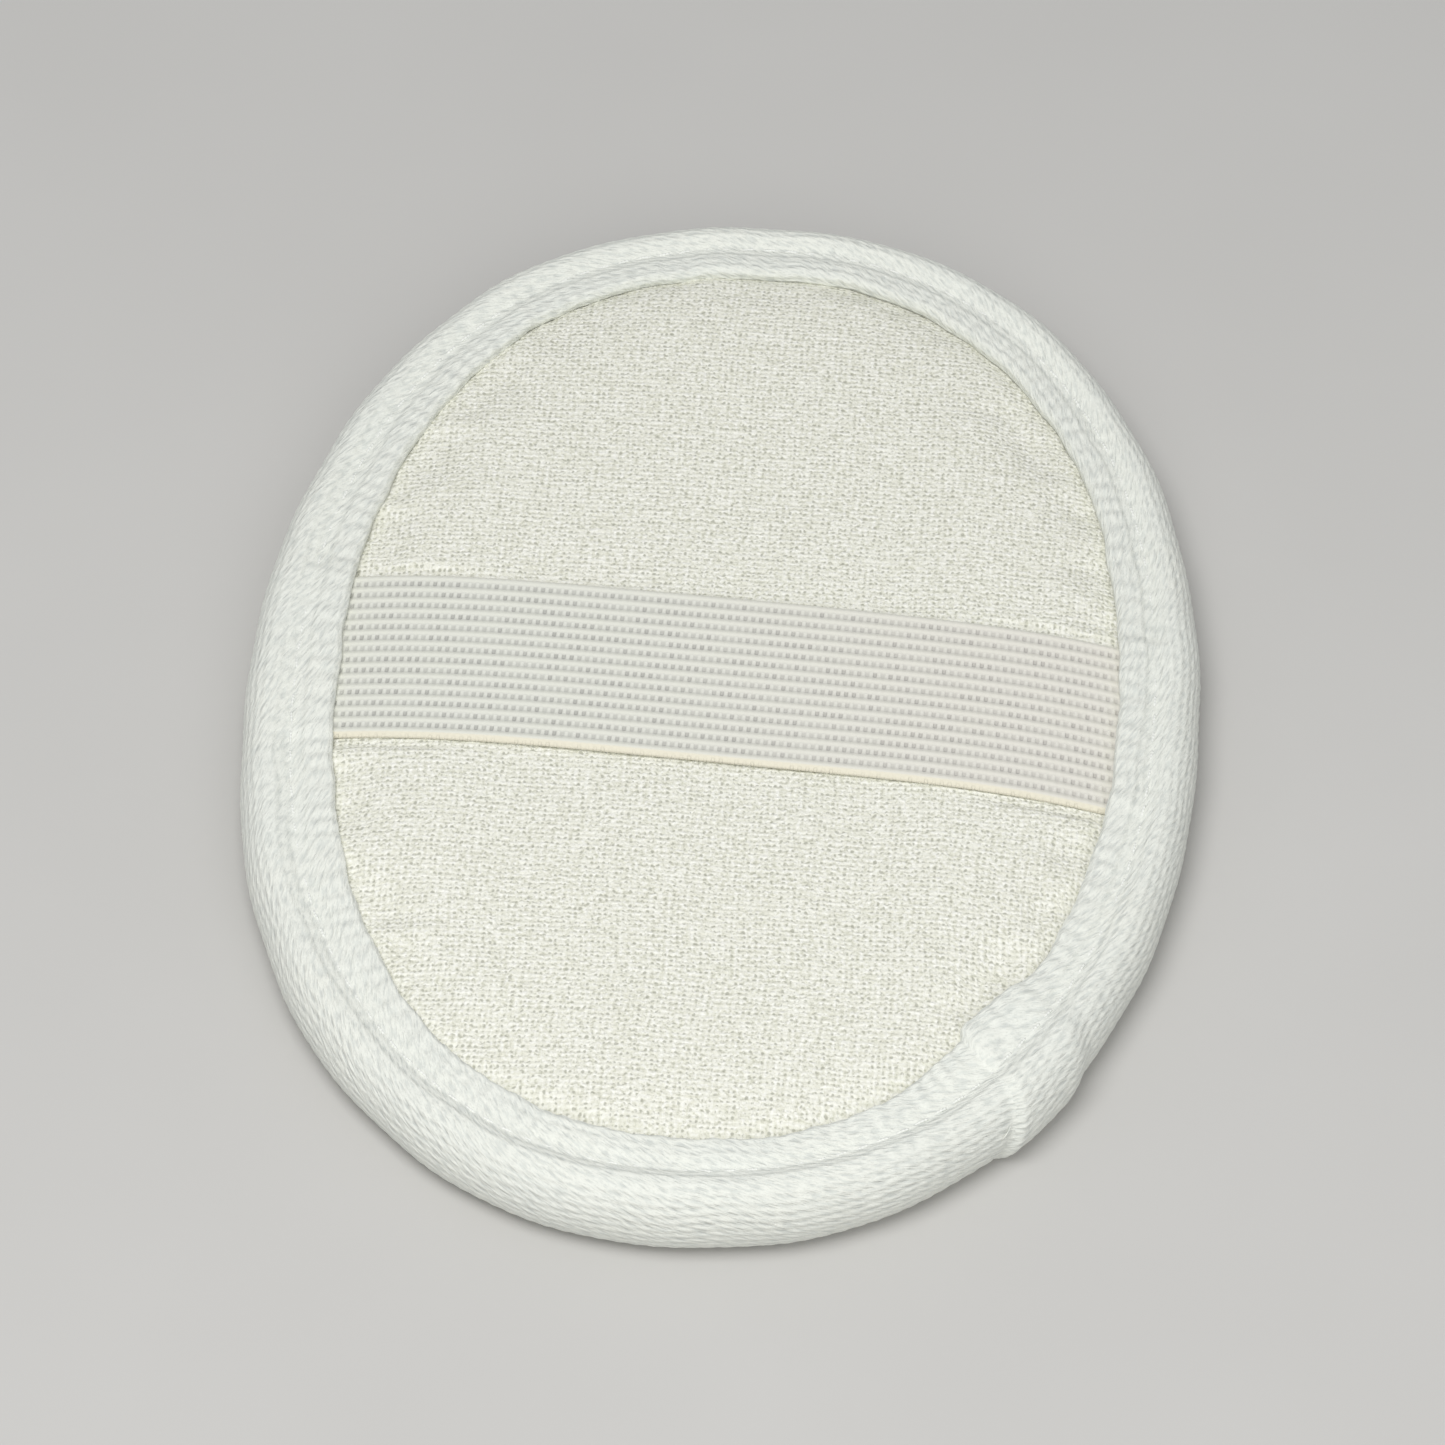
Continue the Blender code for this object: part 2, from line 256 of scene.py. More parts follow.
def tubes(name, lines, radii, sides):
    """Thin closed tubes along lines, an array of (tube, point, xyz); radii is (tube, point).

    Their UVs are the run along each tube and, in v, the tube's own number.
    """
    count, points, _ = lines.shape
    along = np.gradient(lines, axis=1)
    along /= np.linalg.norm(along, axis=2)[:, :, None]
    side = np.cross(along, np.array([0.13, 0.21, 0.97]))
    side /= np.linalg.norm(side, axis=2)[:, :, None]
    up = np.cross(side, along)
    angle = np.arange(sides) * TAU / sides
    ring = side[:, :, None] * np.cos(angle)[:, None] + up[:, :, None] * np.sin(angle)[:, None]
    verts = lines[:, :, None] + ring * radii[:, :, None, None]
    quads, _ = grid_quads(points, sides, False, True)
    first = np.arange(count)[:, None, None] * points * sides
    walls = (quads[None, :, ::-1] + first).reshape(-1, 4)
    start = np.arange(sides)[None] + np.arange(count)[:, None] * points * sides
    end = start[:, ::-1] + (points - 1) * sides
    steps = np.linalg.norm(np.diff(lines, axis=1), axis=2)
    run = np.concatenate((np.zeros((count, 1)), np.cumsum(steps, axis=1)), axis=1)
    wall_run = run[:, np.repeat(np.arange(points - 1), sides)[:, None] + np.array([0, 1, 1, 0])[None, ::-1]]
    wall_own = np.broadcast_to(np.arange(count)[:, None, None] * MM, wall_run.shape)
    wall_uv = np.stack((wall_run, wall_own), axis=-1)
    cap_uv = np.zeros((2 * count * sides, 2))
    uvs = np.concatenate((wall_uv.reshape(-1, 2) / MM, cap_uv))
    return new_object(name, verts.reshape(-1, 3), list(walls) + list(start) + list(end), uvs)


# ---------------------------------------------------------------- binding tape

def strap_lift(x, y):
    """How much the tape is lifted where the strap's ends pass under it, 0 to 1."""
    _, across = turned(x, y)
    side = ease((0.5 * STRAP_WIDTH + 1.6 * MM - np.abs(across)) / (2.4 * MM))
    return side * ease((np.abs(x) - 40.0 * MM) / (3.0 * MM))


def side_spread(shares):
    """How much wider the tape lies along its left side, where it was guided further over the rim."""
    return SIDE_SPREAD * np.exp(-((shares - SIDE_PLACE) * TAPE_LENGTH / SIDE_RUN) ** 2)


def lap_cover(run, share, length):
    """0 to 1: where the tape's folded end lies over its start, quick at the fold and slow at the far end."""
    start = LAP_START * length + LAP_SLANT * (share - 0.6)
    sharp = ease((run - start + 0.3 * MM) / (1.3 * MM))
    soft = 1.0 - ease((run - start - LAP_LENGTH + 5.0 * MM) / (5.0 * MM))
    return sharp * soft


def half_roll(inset, depth, low, high, steps):
    """Half an ellipse that bulges outwards from an inset, as (inset, height), from low to high."""
    angle = np.linspace(0.0, math.pi, steps + 1)
    middle = 0.5 * (low + high)
    return np.stack((inset - depth * np.sin(angle), middle - 0.5 * (high - low) * np.cos(angle)), axis=1)


def tape_outside():
    """The tape's outer skin as (inset, height): its edge below, the roll, the seam's groove, the flange."""
    below = [(SOLE_REACH, RIM_BOTTOM + 0.9 * MM), (SOLE_REACH - 0.15 * MM, RIM_BOTTOM + 0.25 * MM)]
    sole = [(SOLE_REACH - 0.7 * MM, RIM_BOTTOM), (SEAM_INSET + 0.2 * MM, RIM_BOTTOM + 0.3 * MM)]
    groove = [
        (SEAM_INSET - 1.4 * MM, FLANGE_TOP + 0.12 * MM),
        (SEAM_INSET - 0.7 * MM, FLANGE_TOP - 0.3 * MM),
        (SEAM_INSET, FLANGE_TOP - 0.6 * MM),
        (SEAM_INSET + 0.7 * MM, FLANGE_TOP - 0.48 * MM),
        (SEAM_INSET + 1.4 * MM, FLANGE_TOP - 0.12 * MM),
    ]
    flange = [
        (SEAM_INSET + 1.9 * MM, FLANGE_TOP + 0.04 * MM),
        (TAPE_REACH - 1.5 * MM, FLANGE_TOP + 0.02 * MM),
        (TAPE_REACH - 0.75 * MM, FLANGE_TOP + 0.22 * MM),
        (TAPE_REACH - 0.2 * MM, FLANGE_TOP - 0.05 * MM),
        (TAPE_REACH, FLANGE_TOP - 0.7 * MM),
        (TAPE_REACH - 0.1 * MM, FLANGE_TOP - 1.4 * MM),
    ]
    roll = half_roll(ROLL_INSET, ROLL_INSET, RIM_BOTTOM, RIM_TOP, 24)
    return np.concatenate((below, sole, roll, groove, flange))


def tape_inside():
    """The tape's hidden inner skin as (inset, height), from its free edge above to the one below."""
    roll = half_roll(ROLL_INSET, ROLL_INSET - TAPE_WALL, SOLE_TOP, FLANGE_FLOOR, 8)
    below = [(SOLE_REACH - 0.1 * MM, SOLE_TOP)]
    above = [(TAPE_REACH - 0.2 * MM, FLANGE_FLOOR)]
    return np.concatenate((below, roll, above))[::-1]


def evenly(path, step):
    """Evenly spaced points along a rounded-off path, their outward normals, and the run along it."""
    run = np.concatenate(([0.0], np.cumsum(np.hypot(*np.diff(path, axis=0).T))))
    count = int(round(run[-1] / step)) + 1
    want = np.linspace(0.0, run[-1], count)
    points = np.stack([np.interp(want, run, path[:, k]) for k in (0, 1)], axis=1)
    for _ in range(2):
        points[1:-1] = 0.25 * points[:-2] + 0.5 * points[1:-1] + 0.25 * points[2:]
    along = np.gradient(points, axis=0)
    along /= np.linalg.norm(along, axis=1)[:, None]
    return points, np.stack((-along[:, 1], along[:, 0]), axis=1), want


def tape_stations(length):
    """Shares round the tape, even but closer together at the lap's fold."""
    even = np.arange(0.0, length - 0.5 * TAPE_STATION, TAPE_STATION)
    middle = LAP_START * length - 0.1 * LAP_SLANT
    reach = 0.5 * LAP_SLANT + 1.0 * MM
    fine = np.arange(middle - reach, middle + reach, 0.22 * MM)
    kept = even[np.abs(even - middle) > reach + 0.2 * MM]
    return np.sort(np.concatenate((kept, fine))) / length


def build_tape():
    """The folded tape: a ridged knit round the rim, pulled in at the seam, its end lapped over its start."""
    length = TAPE_LENGTH
    oval = Outline(tape_stations(length))
    run = oval.shares * length
    path, outward, across = evenly(tape_outside(), RIDGE_PITCH / RIDGE_POINTS)
    inside = tape_inside()
    rows, cols = len(run), len(path) + len(inside)
    verts = np.zeros((rows, cols, 3))
    ridge_rows = np.zeros((rows, len(path)))
    leans = np.zeros((rows + 1, cols + 1))
    slack = wander(oval.shares, 21, (4, 7, 13, 17, 29))
    reach = 0.2 * MM * wander(oval.shares, 22, (5, 9, 16, 27, 41, 60))
    drift = 0.25 * wander(oval.shares, 31, (6, 9, 14, 23, 37))
    pull = 0.5 + 0.5 * np.cos(TAU * run / STITCH_PITCH)
    spread = LAP_SPREAD * np.exp(-((run - LAP_START * length - 4.0 * MM) / (12.0 * MM)) ** 2)
    side = side_spread(oval.shares)
    draw = np.random.RandomState(5)
    ridge_gain = draw.uniform(0.75, 1.25, 64)
    for j, (inset, z) in enumerate(path):
        share = across[j] / across[-1]
        cover = lap_cover(run, share, length)
        past_fold = run - LAP_START * length - LAP_SLANT * (share - 0.6)
        lean = LAP_TURN * (1.0 - np.clip(past_fold / LAP_LENGTH, 0.0, 1.0)) ** 1.5 * (past_fold >= 0.0)
        row = across[j] / RIDGE_PITCH + drift + lean
        ridge_rows[:, j] = row
        leans[:-1, j] = lean
        ridge = 0.5 + 0.5 * np.cos(TAU * row)
        dash = np.cos(TAU * (oval.shares * DASHES + DASH_SLANT * row))
        ends = ease(min(share, 1.0 - share) / 0.03)
        gain = ridge_gain[np.mod(np.round(row).astype(int), len(ridge_gain))]
        out = RIDGE_HEIGHT * ends * (ridge * (0.6 + 0.6 * dash) - 0.5) * gain
        out = out + 0.16 * MM * slack * math.sin(math.pi * share)
        groove = math.exp(-((inset - SEAM_INSET) / (1.0 * MM)) ** 2) if z > RIM_MIDDLE else 0.0
        out = out - 0.09 * MM * groove * pull
        upper = max(0.0, (z - RIM_MIDDLE) / (RIM_TOP - RIM_MIDDLE))
        beyond = ease((inset - SEAM_INSET) / (SOLE_REACH - SEAM_INSET))
        pucker = 0.10 * MM * beyond * np.cos(TAU * run / STITCH_PITCH + 2.0 * slack)
        places = inset + outward[j, 0] * out + (reach + spread + 0.6 * MM * cover) * beyond
        over_rim = (inset - 1.5 * MM) / (2.0 * (SEAM_INSET - 1.5 * MM)) if z > RIM_MIDDLE else 0.0
        places = places + side * ease(over_rim)
        places = places - LAP_EXTRA * cover * (1.0 - beyond) * (1.0 - inset / TAPE_REACH)
        heights = z + outward[j, 1] * out + upper * (0.75 * LAP_EXTRA * cover + pucker)
        flat = oval.at(places)
        lifted = ease((inset - 2.5 * MM) / (3.5 * MM)) if z > RIM_MIDDLE else 0.0
        heights = heights + STRAP_HUMP * strap_lift(flat[:, 0], flat[:, 1]) * lifted
        verts[:, j, :2] = flat
        verts[:, j, 2] = np.maximum(heights, 0.04 * MM)
    for j, (inset, z) in enumerate(inside, start=len(path)):
        verts[:, j, :2] = oval.at(inset + reach * (inset > SEAM_INSET))
        verts[:, j, 2] = z
    quads, places = grid_quads(rows, cols, True, True)
    inner_run = across[-1] + np.arange(1, len(inside) + 2) * 2.0 * MM
    over = np.hstack((ridge_rows * RIDGE_PITCH, np.broadcast_to(inner_run, (rows, len(inner_run)))))
    over = np.vstack((over, over[:1]))
    around = np.append(run, length)
    at_over = over[places[:, 0], places[:, 1]].reshape(-1, 4)
    at_lean = leans[places[:, 0], places[:, 1]].reshape(-1, 4)
    on_fold = at_lean.max(axis=1) - at_lean.min(axis=1) > 0.5 * LAP_TURN
    at_over[on_fold] -= np.where(at_lean > 0.5 * LAP_TURN, LAP_TURN * RIDGE_PITCH, 0.0)[on_fold]
    uvs = np.stack((around[places[:, 0]], at_over.ravel()), axis=1) / MM
    return new_object("binding_tape", verts.reshape(-1, 3), quads, uvs)


def build_stitches(name, height, seed):
    """Short sewn stitches lying in the seam groove, each its own small closed thread."""
    length = TAPE_LENGTH
    count = int(length // STITCH_PITCH)
    draw = np.random.RandomState(seed)
    starts = (np.arange(count) + 0.5) / count
    steps = np.linspace(-0.5, 0.5, STITCH_POINTS)
    lines = np.zeros((count, len(steps), 3))
    radii = np.zeros((count, len(steps)))
    tilt = draw.uniform(-0.12, 0.12, count) * MM
    sign = 1.0 if height > RIM_MIDDLE else -1.0
    for k, step in enumerate(steps):
        oval = Outline(starts + step * STITCH_LENGTH / length)
        side = 0.5 * side_spread(oval.shares) if sign > 0.0 else 0.0
        lines[:, k, :2] = oval.at(SEAM_INSET + tilt * step * 2.0 + side)
        arch = 1.0 - (2.0 * step) ** 4
        flat = lines[:, k]
        lines[:, k, 2] = height + sign * 0.2 * MM * (arch - 1.0)
        if sign > 0.0:
            lines[:, k, 2] += STITCH_HUMP * strap_lift(flat[:, 0], flat[:, 1])
            lines[:, k, 2] += 0.7 * LAP_EXTRA * lap_cover(oval.shares * length, SEAM_SHARE, length)
        radii[:, k] = STITCH_RADIUS * (1.0 - abs(2.0 * step) ** 3 * 0.75)
    return tubes(name, lines, radii, 8)


def build_fray():
    """Short curled yarn ends that stand out of the tape's lap."""
    draw = np.random.RandomState(8)
    lines = np.zeros((FRAY_COUNT, FRAY_POINTS, 3))
    for k in range(FRAY_COUNT):
        share = LAP_START + draw.uniform(-0.002, 0.036)
        oval = Outline([share])
        start = oval.at(draw.uniform(0.4, 2.2) * MM)[0]
        z = draw.uniform(5.5, 9.2) * MM
        out = oval.normals[0]
        side = np.array([-out[1], out[0]])
        turn = draw.uniform(-1.6, 1.6)
        reach = draw.uniform(1.2, 3.2) * MM
        for p in range(FRAY_POINTS):
            t = p / (FRAY_POINTS - 1.0)
            bend = turn * t
            step = out * math.cos(bend) * 0.55 + side * math.sin(bend) * (1.0 if k % 2 else -1.0)
            lines[k, p, :2] = start + step * reach * t
            lines[k, p, 2] = z + 0.6 * MM * math.sin(2.2 * t + turn) - 0.5 * MM * t
    radii = np.full((FRAY_COUNT, FRAY_POINTS), FRAY_RADIUS)
    radii[:, -1] = 0.4 * FRAY_RADIUS
    return tubes("lap_fray", lines, radii, 6)


# ---------------------------------------------------------------- back cloth

def cloth_dome(inset):
    """Height of the cloth's face at an inset: low at the seam, crowned over the wadding."""
    insets = np.array([7.0, 9.2, 9.8, 10.6, 12.0, 15.0, 20.0, 26.0, 56.0]) * MM
    rise = np.array([0.0, 0.03, 0.26, 0.44, 0.62, 0.79, 0.91, 0.97, 1.0])
    return CLOTH_RIM_TOP + (CLOTH_CROWN - CLOTH_RIM_TOP) * np.interp(inset, insets, rise)


def strap_height(x):
    """Height of the strap's underside at a distance x from the middle."""
    away = np.minimum(np.abs(x) / STRAP_LEVEL_END, 1.0)
    return STRAP_CROWN + (STRAP_SEAT - STRAP_CROWN) * away ** STRAP_ARCH


def swollen_cloth(xs, ys):
    """Heights of the cloth on a coarse grid after the wadding has pushed it up, by cloth simulation."""
    x, y = np.meshgrid(xs, ys, indexing="ij")
    inset = inset_at(x, y)
    base = cloth_dome(inset)
    quads, _ = grid_quads(len(xs), len(ys), False, False)
    verts = np.stack((x, y, base), axis=-1).reshape(-1, 3)
    sheet = new_object("cloth_trial", verts, quads)
    held = sheet.vertex_groups.new(name="held")
    weights = ease((10.8 * MM - inset.ravel()) / (1.5 * MM))
    for index in range(len(verts)):
        held.add([index], float(weights[index]), "REPLACE")
    cloth = sheet.modifiers.new("cloth", "CLOTH")
    settings = cloth.settings
    settings.quality = 6
    settings.mass = 0.002
    settings.tension_stiffness = 8.0
    settings.compression_stiffness = 8.0
    settings.shear_stiffness = 3.0
    settings.bending_stiffness = 0.05
    settings.shrink_min = -0.012
    settings.use_pressure = True
    settings.uniform_pressure_force = 4.0
    settings.vertex_group_mass = "held"
    settings.effector_weights.gravity = 0.0
    cloth.collision_settings.use_collision = False
    cloth.point_cache.frame_start = 1
    cloth.point_cache.frame_end = SWELL_FRAMES
    for number in range(1, SWELL_FRAMES + 1):
        bpy.context.scene.frame_set(number)
    shown = sheet.evaluated_get(bpy.context.evaluated_depsgraph_get())
    moved = np.array([v.co.z for v in shown.data.vertices]).reshape(base.shape)
    bpy.context.scene.frame_set(1)
    bpy.data.objects.remove(sheet)
    rise = moved - base
    rise = SWELL_MOST * rise / (np.abs(rise) + SWELL_EASY)
    return base + np.maximum(rise, -SWELL_DIP)


def blurred(field, passes):
    """A field smoothed by small averaging passes along both axes."""
    for _ in range(passes):
        for axis in (0, 1):
            field = 0.5 * field + 0.25 * (np.roll(field, 1, axis) + np.roll(field, -1, axis))
    return field


def bilinear(field, xs, ys, x, y):
    """A coarse field read at the points of a finer grid with axes x and y."""
    along = np.stack([np.interp(x, xs, field[:, k]) for k in range(len(ys))], axis=1)
    return np.stack([np.interp(y, ys, along[k]) for k in range(len(x))], axis=0)


def build_cloth():
    """The woven back: every yarn crossing is modelled on a fine grid, laid over the swollen shape."""
    rough_x = np.arange(-HALF_WIDTH, HALF_WIDTH + SWELL_GRID, SWELL_GRID)
    rough_y = np.arange(-HALF_LENGTH, HALF_LENGTH + SWELL_GRID, SWELL_GRID)
    swell = swollen_cloth(rough_x, rough_y)
    step = 0.5 * YARN_PITCH
    half_cols = int(HALF_WIDTH / step)
    half_rows = int(HALF_LENGTH / step)
    i = np.arange(-half_cols, half_cols + 1)
    j = np.arange(-half_rows, half_rows + 1)
    height = blurred(bilinear(swell, rough_x, rough_y, i * step, j * step), 6)
    col, row = np.meshgrid(i, j, indexing="ij")
    draw = np.random.RandomState(3)
    warp_gain = draw.uniform(0.55, 1.35, len(i))[:, None]
    weft_gain = draw.uniform(0.55, 1.35, len(j))[None, :]
    slub = blurred(draw.normal(0.0, 1.0, col.shape), 3)
    slub = slub / slub.std()
    centre_col, centre_row = np.mod(col, 2) == 1, np.mod(row, 2) == 1
    parity = np.mod(np.floor(col / 2) + np.floor(row / 2), 2)
    relief = np.where(centre_col & centre_row, np.where(parity > 0, warp_gain, 0.8 * weft_gain), 0.0)
    relief = relief + np.where(centre_col ^ centre_row, 0.42, 0.0)
    relief = relief * (1.0 + 0.22 * slub)
    sway_x = 0.16 * MM * np.interp(j, j[::24], draw.normal(0, 1, len(j[::24])))[None, :]
    sway_y = 0.16 * MM * np.interp(i, i[::24], draw.normal(0, 1, len(i[::24])))[:, None]
    x, y = col * step + sway_x, row * step + sway_y
    z = height + YARN_RELIEF * (relief - 0.5)
    along, across = turned(x, y)
    under = ease((0.5 * STRAP_WIDTH + 4.0 * MM - np.abs(across)) / (3.0 * MM))
    ceiling = strap_height(along) - STRAP_CLEARANCE
    z = np.where(under > 0.0, np.minimum(z, ceiling + (1.0 - under) * 3.0 * MM), z)
    inside = inset_at(x, y) > CLOTH_EDGE_INSET
    number = np.cumsum(inside.ravel()).reshape(inside.shape) - 1
    quads, places = grid_quads(len(i), len(j), False, False)
    whole = inside.ravel()[quads].all(axis=1)
    kept = number.ravel()[quads[whole]]
    places = places.reshape(-1, 4, 2)[whole].reshape(-1, 2)
    uvs = np.stack((i[places[:, 0]] * step, j[places[:, 1]] * step), axis=1) / MM
    verts = np.stack((x[inside], y[inside], z[inside]), axis=1)
    used = np.unique(kept)
    renumber = np.zeros(len(verts), int)
    renumber[used] = np.arange(len(used))
    obj = new_object("woven_back", verts[used], renumber[kept], uvs)
    close_below(obj, CLOTH_FLOOR)
    return obj


def close_below(obj, floor_z):
    """Closes an open sheet with a short wall down from its border and one flat face under it."""
    mesh = bmesh.new()
    mesh.from_mesh(obj.data)
    border = [edge for edge in mesh.edges if edge.is_boundary]
    made = bmesh.ops.extrude_edge_only(mesh, edges=border)["geom"]
    for vert in (item for item in made if isinstance(item, bmesh.types.BMVert)):
        vert.co.z = floor_z
    lower = [item for item in made if isinstance(item, bmesh.types.BMEdge) and item.is_boundary]
    bmesh.ops.edgeloop_fill(mesh, edges=lower)
    bmesh.ops.recalc_face_normals(mesh, faces=mesh.faces)
    mesh.to_mesh(obj.data)
    mesh.free()


# ---------------------------------------------------------------- hand strap

def build_strap():
    """The ribbed elastic, one closed band: raised cords with a ladder of small pits between them."""
    xs = np.linspace(-STRAP_END, STRAP_END, int(2.0 * STRAP_END / STRAP_STEP) + 1)
    over = np.linspace(-0.5, 0.5, STRAP_RIBS * STRAP_POINTS_PER_RIB + 1) * STRAP_WIDTH
    x, y = np.meshgrid(xs, over, indexing="ij")
    rib = (y / STRAP_WIDTH + 0.5) * STRAP_RIBS
    phase = rib - np.floor(rib)
    cord = ease(1.0 - np.abs(phase - 0.5) / 0.3)
    tick = 0.5 + 0.5 * np.cos(TAU * (x / STRAP_TICK + 0.37 * np.round(rib)))
    relief = STRAP_RELIEF * (cord * (0.9 + 0.1 * tick) + 0.45 * (1.0 - cord) * tick)
    edge = ease((0.5 * STRAP_WIDTH - np.abs(y)) / (0.45 * MM))
    ripple = 0.05 * MM * np.sin(x / (7.0 * MM) + 1.0) * np.sin(y / (6.0 * MM))
    top = strap_height(x) + ripple + 0.2 * STRAP_THICKNESS + (0.8 * STRAP_THICKNESS + relief) * edge
    low = np.array([0.492, 0.0, -0.492]) * STRAP_WIDTH
    cols = len(over) + len(low)
    verts = np.zeros((len(xs), cols, 3))
    verts[:, :, 0] = xs[:, None]
    verts[:, :, 1] = np.concatenate((over, low))[None, :]
    verts[:, : len(over), 2] = top
    verts[:, len(over):, 2] = strap_height(xs)[:, None]
    quads, places = grid_quads(len(xs), cols, False, True)
    quads = quads[:, ::-1]
    places = places.reshape(-1, 4, 2)[:, ::-1].reshape(-1, 2)
    below = 0.5 * STRAP_WIDTH + np.array([0.3, 13.0, 25.6, 26.0]) * MM
    v = np.concatenate((over, below))
    uvs = np.stack((xs[places[:, 0]], v[places[:, 1]]), axis=1) / MM
    last = (len(xs) - 1) * cols
    caps = [tuple(range(cols))[::-1], tuple(last + k for k in range(cols))]
    obj = new_object("elastic_strap", verts.reshape(-1, 3), list(quads) + caps,
                     np.concatenate((uvs, np.zeros((2 * cols, 2)))))
    face_outwards(obj)
    obj.data.transform(Matrix.Rotation(STRAP_SKEW, 4, "Z"))
    return obj


def lift_strap(obj):
    """Bakes the strap's placement into its mesh and reads its vertex places, which nothing uses."""
    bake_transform(obj)
    places = np.zeros(3 * len(obj.data.vertices), np.float32)
    obj.data.vertices.foreach_get("co", places)


# ---------------------------------------------------------------- loofah and wadding

def build_layer(name, edge_inset, rings, stations, lower, upper):
    """A closed oval layer; lower and upper give each face's height from (x, y, inset)."""
    oval = Outline(np.arange(stations) / stations)
    insets = np.linspace(edge_inset, HALF_WIDTH - 1.5 * MM, rings)
    verts, faces = [], []
    for face, height in enumerate((lower, upper)):
        for inset in insets:
            flat = oval.at(inset)
            verts.append(np.column_stack((flat, height(flat[:, 0], flat[:, 1], inset))))
        middle = np.zeros(1)
        verts.append(np.column_stack((middle, middle, height(middle, middle, HALF_WIDTH))))
        first = face * (rings * stations + 1)
        quads, _ = grid_quads(rings, stations, False, True)
        quads = quads + first
        centre = first + rings * stations
        inner = first + (rings - 1) * stations
        ring = np.arange(stations)
        fan = np.stack((inner + ring, inner + (ring + 1) % stations, np.full(stations, centre)), axis=1)
        faces += list(quads[:, ::-1] if face else quads) + list(fan[:, ::-1] if not face else fan)
    ring = np.arange(stations)
    upper_first = rings * stations + 1
    after = (ring + 1) % stations
    wall = np.stack((ring, after, upper_first + after, upper_first + ring), axis=1)
    obj = new_object(name, np.concatenate(verts), faces + list(wall))
    face_outwards(obj)
    return obj


def field(x, y, size, seed):
    """Smooth noise over the plane, about -1 to 1, with features of a given size."""
    return np.array([
        noise.noise(Vector((a / size, b / size, 7.3 * seed))) for a, b in zip(np.ravel(x), np.ravel(y))
    ]).reshape(np.shape(x))


def loofah_face(x, y, inset):
    """Height of the loofah's face below the pad: nearly flat, with shallow hollows and a turned-up border."""
    hollows = 0.22 * MM * field(x, y, 9.0 * MM, 1) + 0.16 * MM * field(x, y, 1.3 * MM, 2)
    border = 1.6 * MM * (1.0 - ease((inset - LOOFAH_EDGE_INSET) / (4.0 * MM)))
    return LOOFAH_FACE + hollows + border


def loofah_back(x, y, inset):
    """Height of the loofah's hidden upper face."""
    return np.full(np.shape(x), LOOFAH_TOP)


def build_fibres():
    """Loose loofah fibres lying over the face in locally shared directions."""
    draw = np.random.RandomState(12)
    x = draw.uniform(-1.0, 1.0, 3 * FIBRE_COUNT) * HALF_WIDTH
    y = draw.uniform(-1.0, 1.0, 3 * FIBRE_COUNT) * HALF_LENGTH
    inside = inset_at(x, y) > SOLE_REACH + 0.3 * MM
    x, y = x[inside][:FIBRE_COUNT], y[inside][:FIBRE_COUNT]
    count = len(x)
    heading = FIBRE_HEADING + 1.1 * field(x, y, 18.0 * MM, 3) + draw.normal(0.0, 0.4, count)
    bend = draw.normal(0.0, 0.6, count)
    border = ease((14.0 * MM - inset_at(x, y)) / (5.0 * MM))
    length = draw.uniform(1.0, 2.7, count) * MM * (1.0 + 0.6 * border)
    depth = draw.uniform(0.0, 1.0, count)
    lines = np.zeros((count, FIBRE_POINTS, 3))
    for p in range(FIBRE_POINTS):
        t = p / (FIBRE_POINTS - 1.0) - 0.5
        turn = heading + bend * t
        lines[:, p, 0] = x + np.cos(turn) * length * t
        lines[:, p, 1] = y + np.sin(turn) * length * t
        lines[:, p, 2] = LOOFAH_FACE - 0.12 * MM - 0.42 * MM * depth + 1.3 * MM * t * t * depth
    out = inset_at(lines[:, :, 0], lines[:, :, 1]).min(axis=1) < SOLE_REACH - 0.4 * MM
    lines = lines[~out]
    radii = np.broadcast_to(draw.uniform(0.075, 0.135, count)[~out, None] * MM, lines.shape[:2]).copy()
    radii[:, [0, -1]] *= 0.45
    lines[:, :, 2] = np.maximum(lines[:, :, 2], 0.16 * MM)
    return tubes("loofah_fibres", lines, radii, 3)


def foam_top(x, y, inset):
    """Height of the wadding's upper face, just under the cloth."""
    return np.full(np.shape(x), cloth_dome(inset) - 0.75 * MM) + 0.05 * MM * field(x, y, 3.0 * MM, 5)


def foam_floor(x, y, inset):
    """Height of the wadding's lower face, on the loofah's back."""
    return np.full(np.shape(x), FOAM_FLOOR) + 0.03 * MM * field(x, y, 3.0 * MM, 6)


# ---------------------------------------------------------------- materials

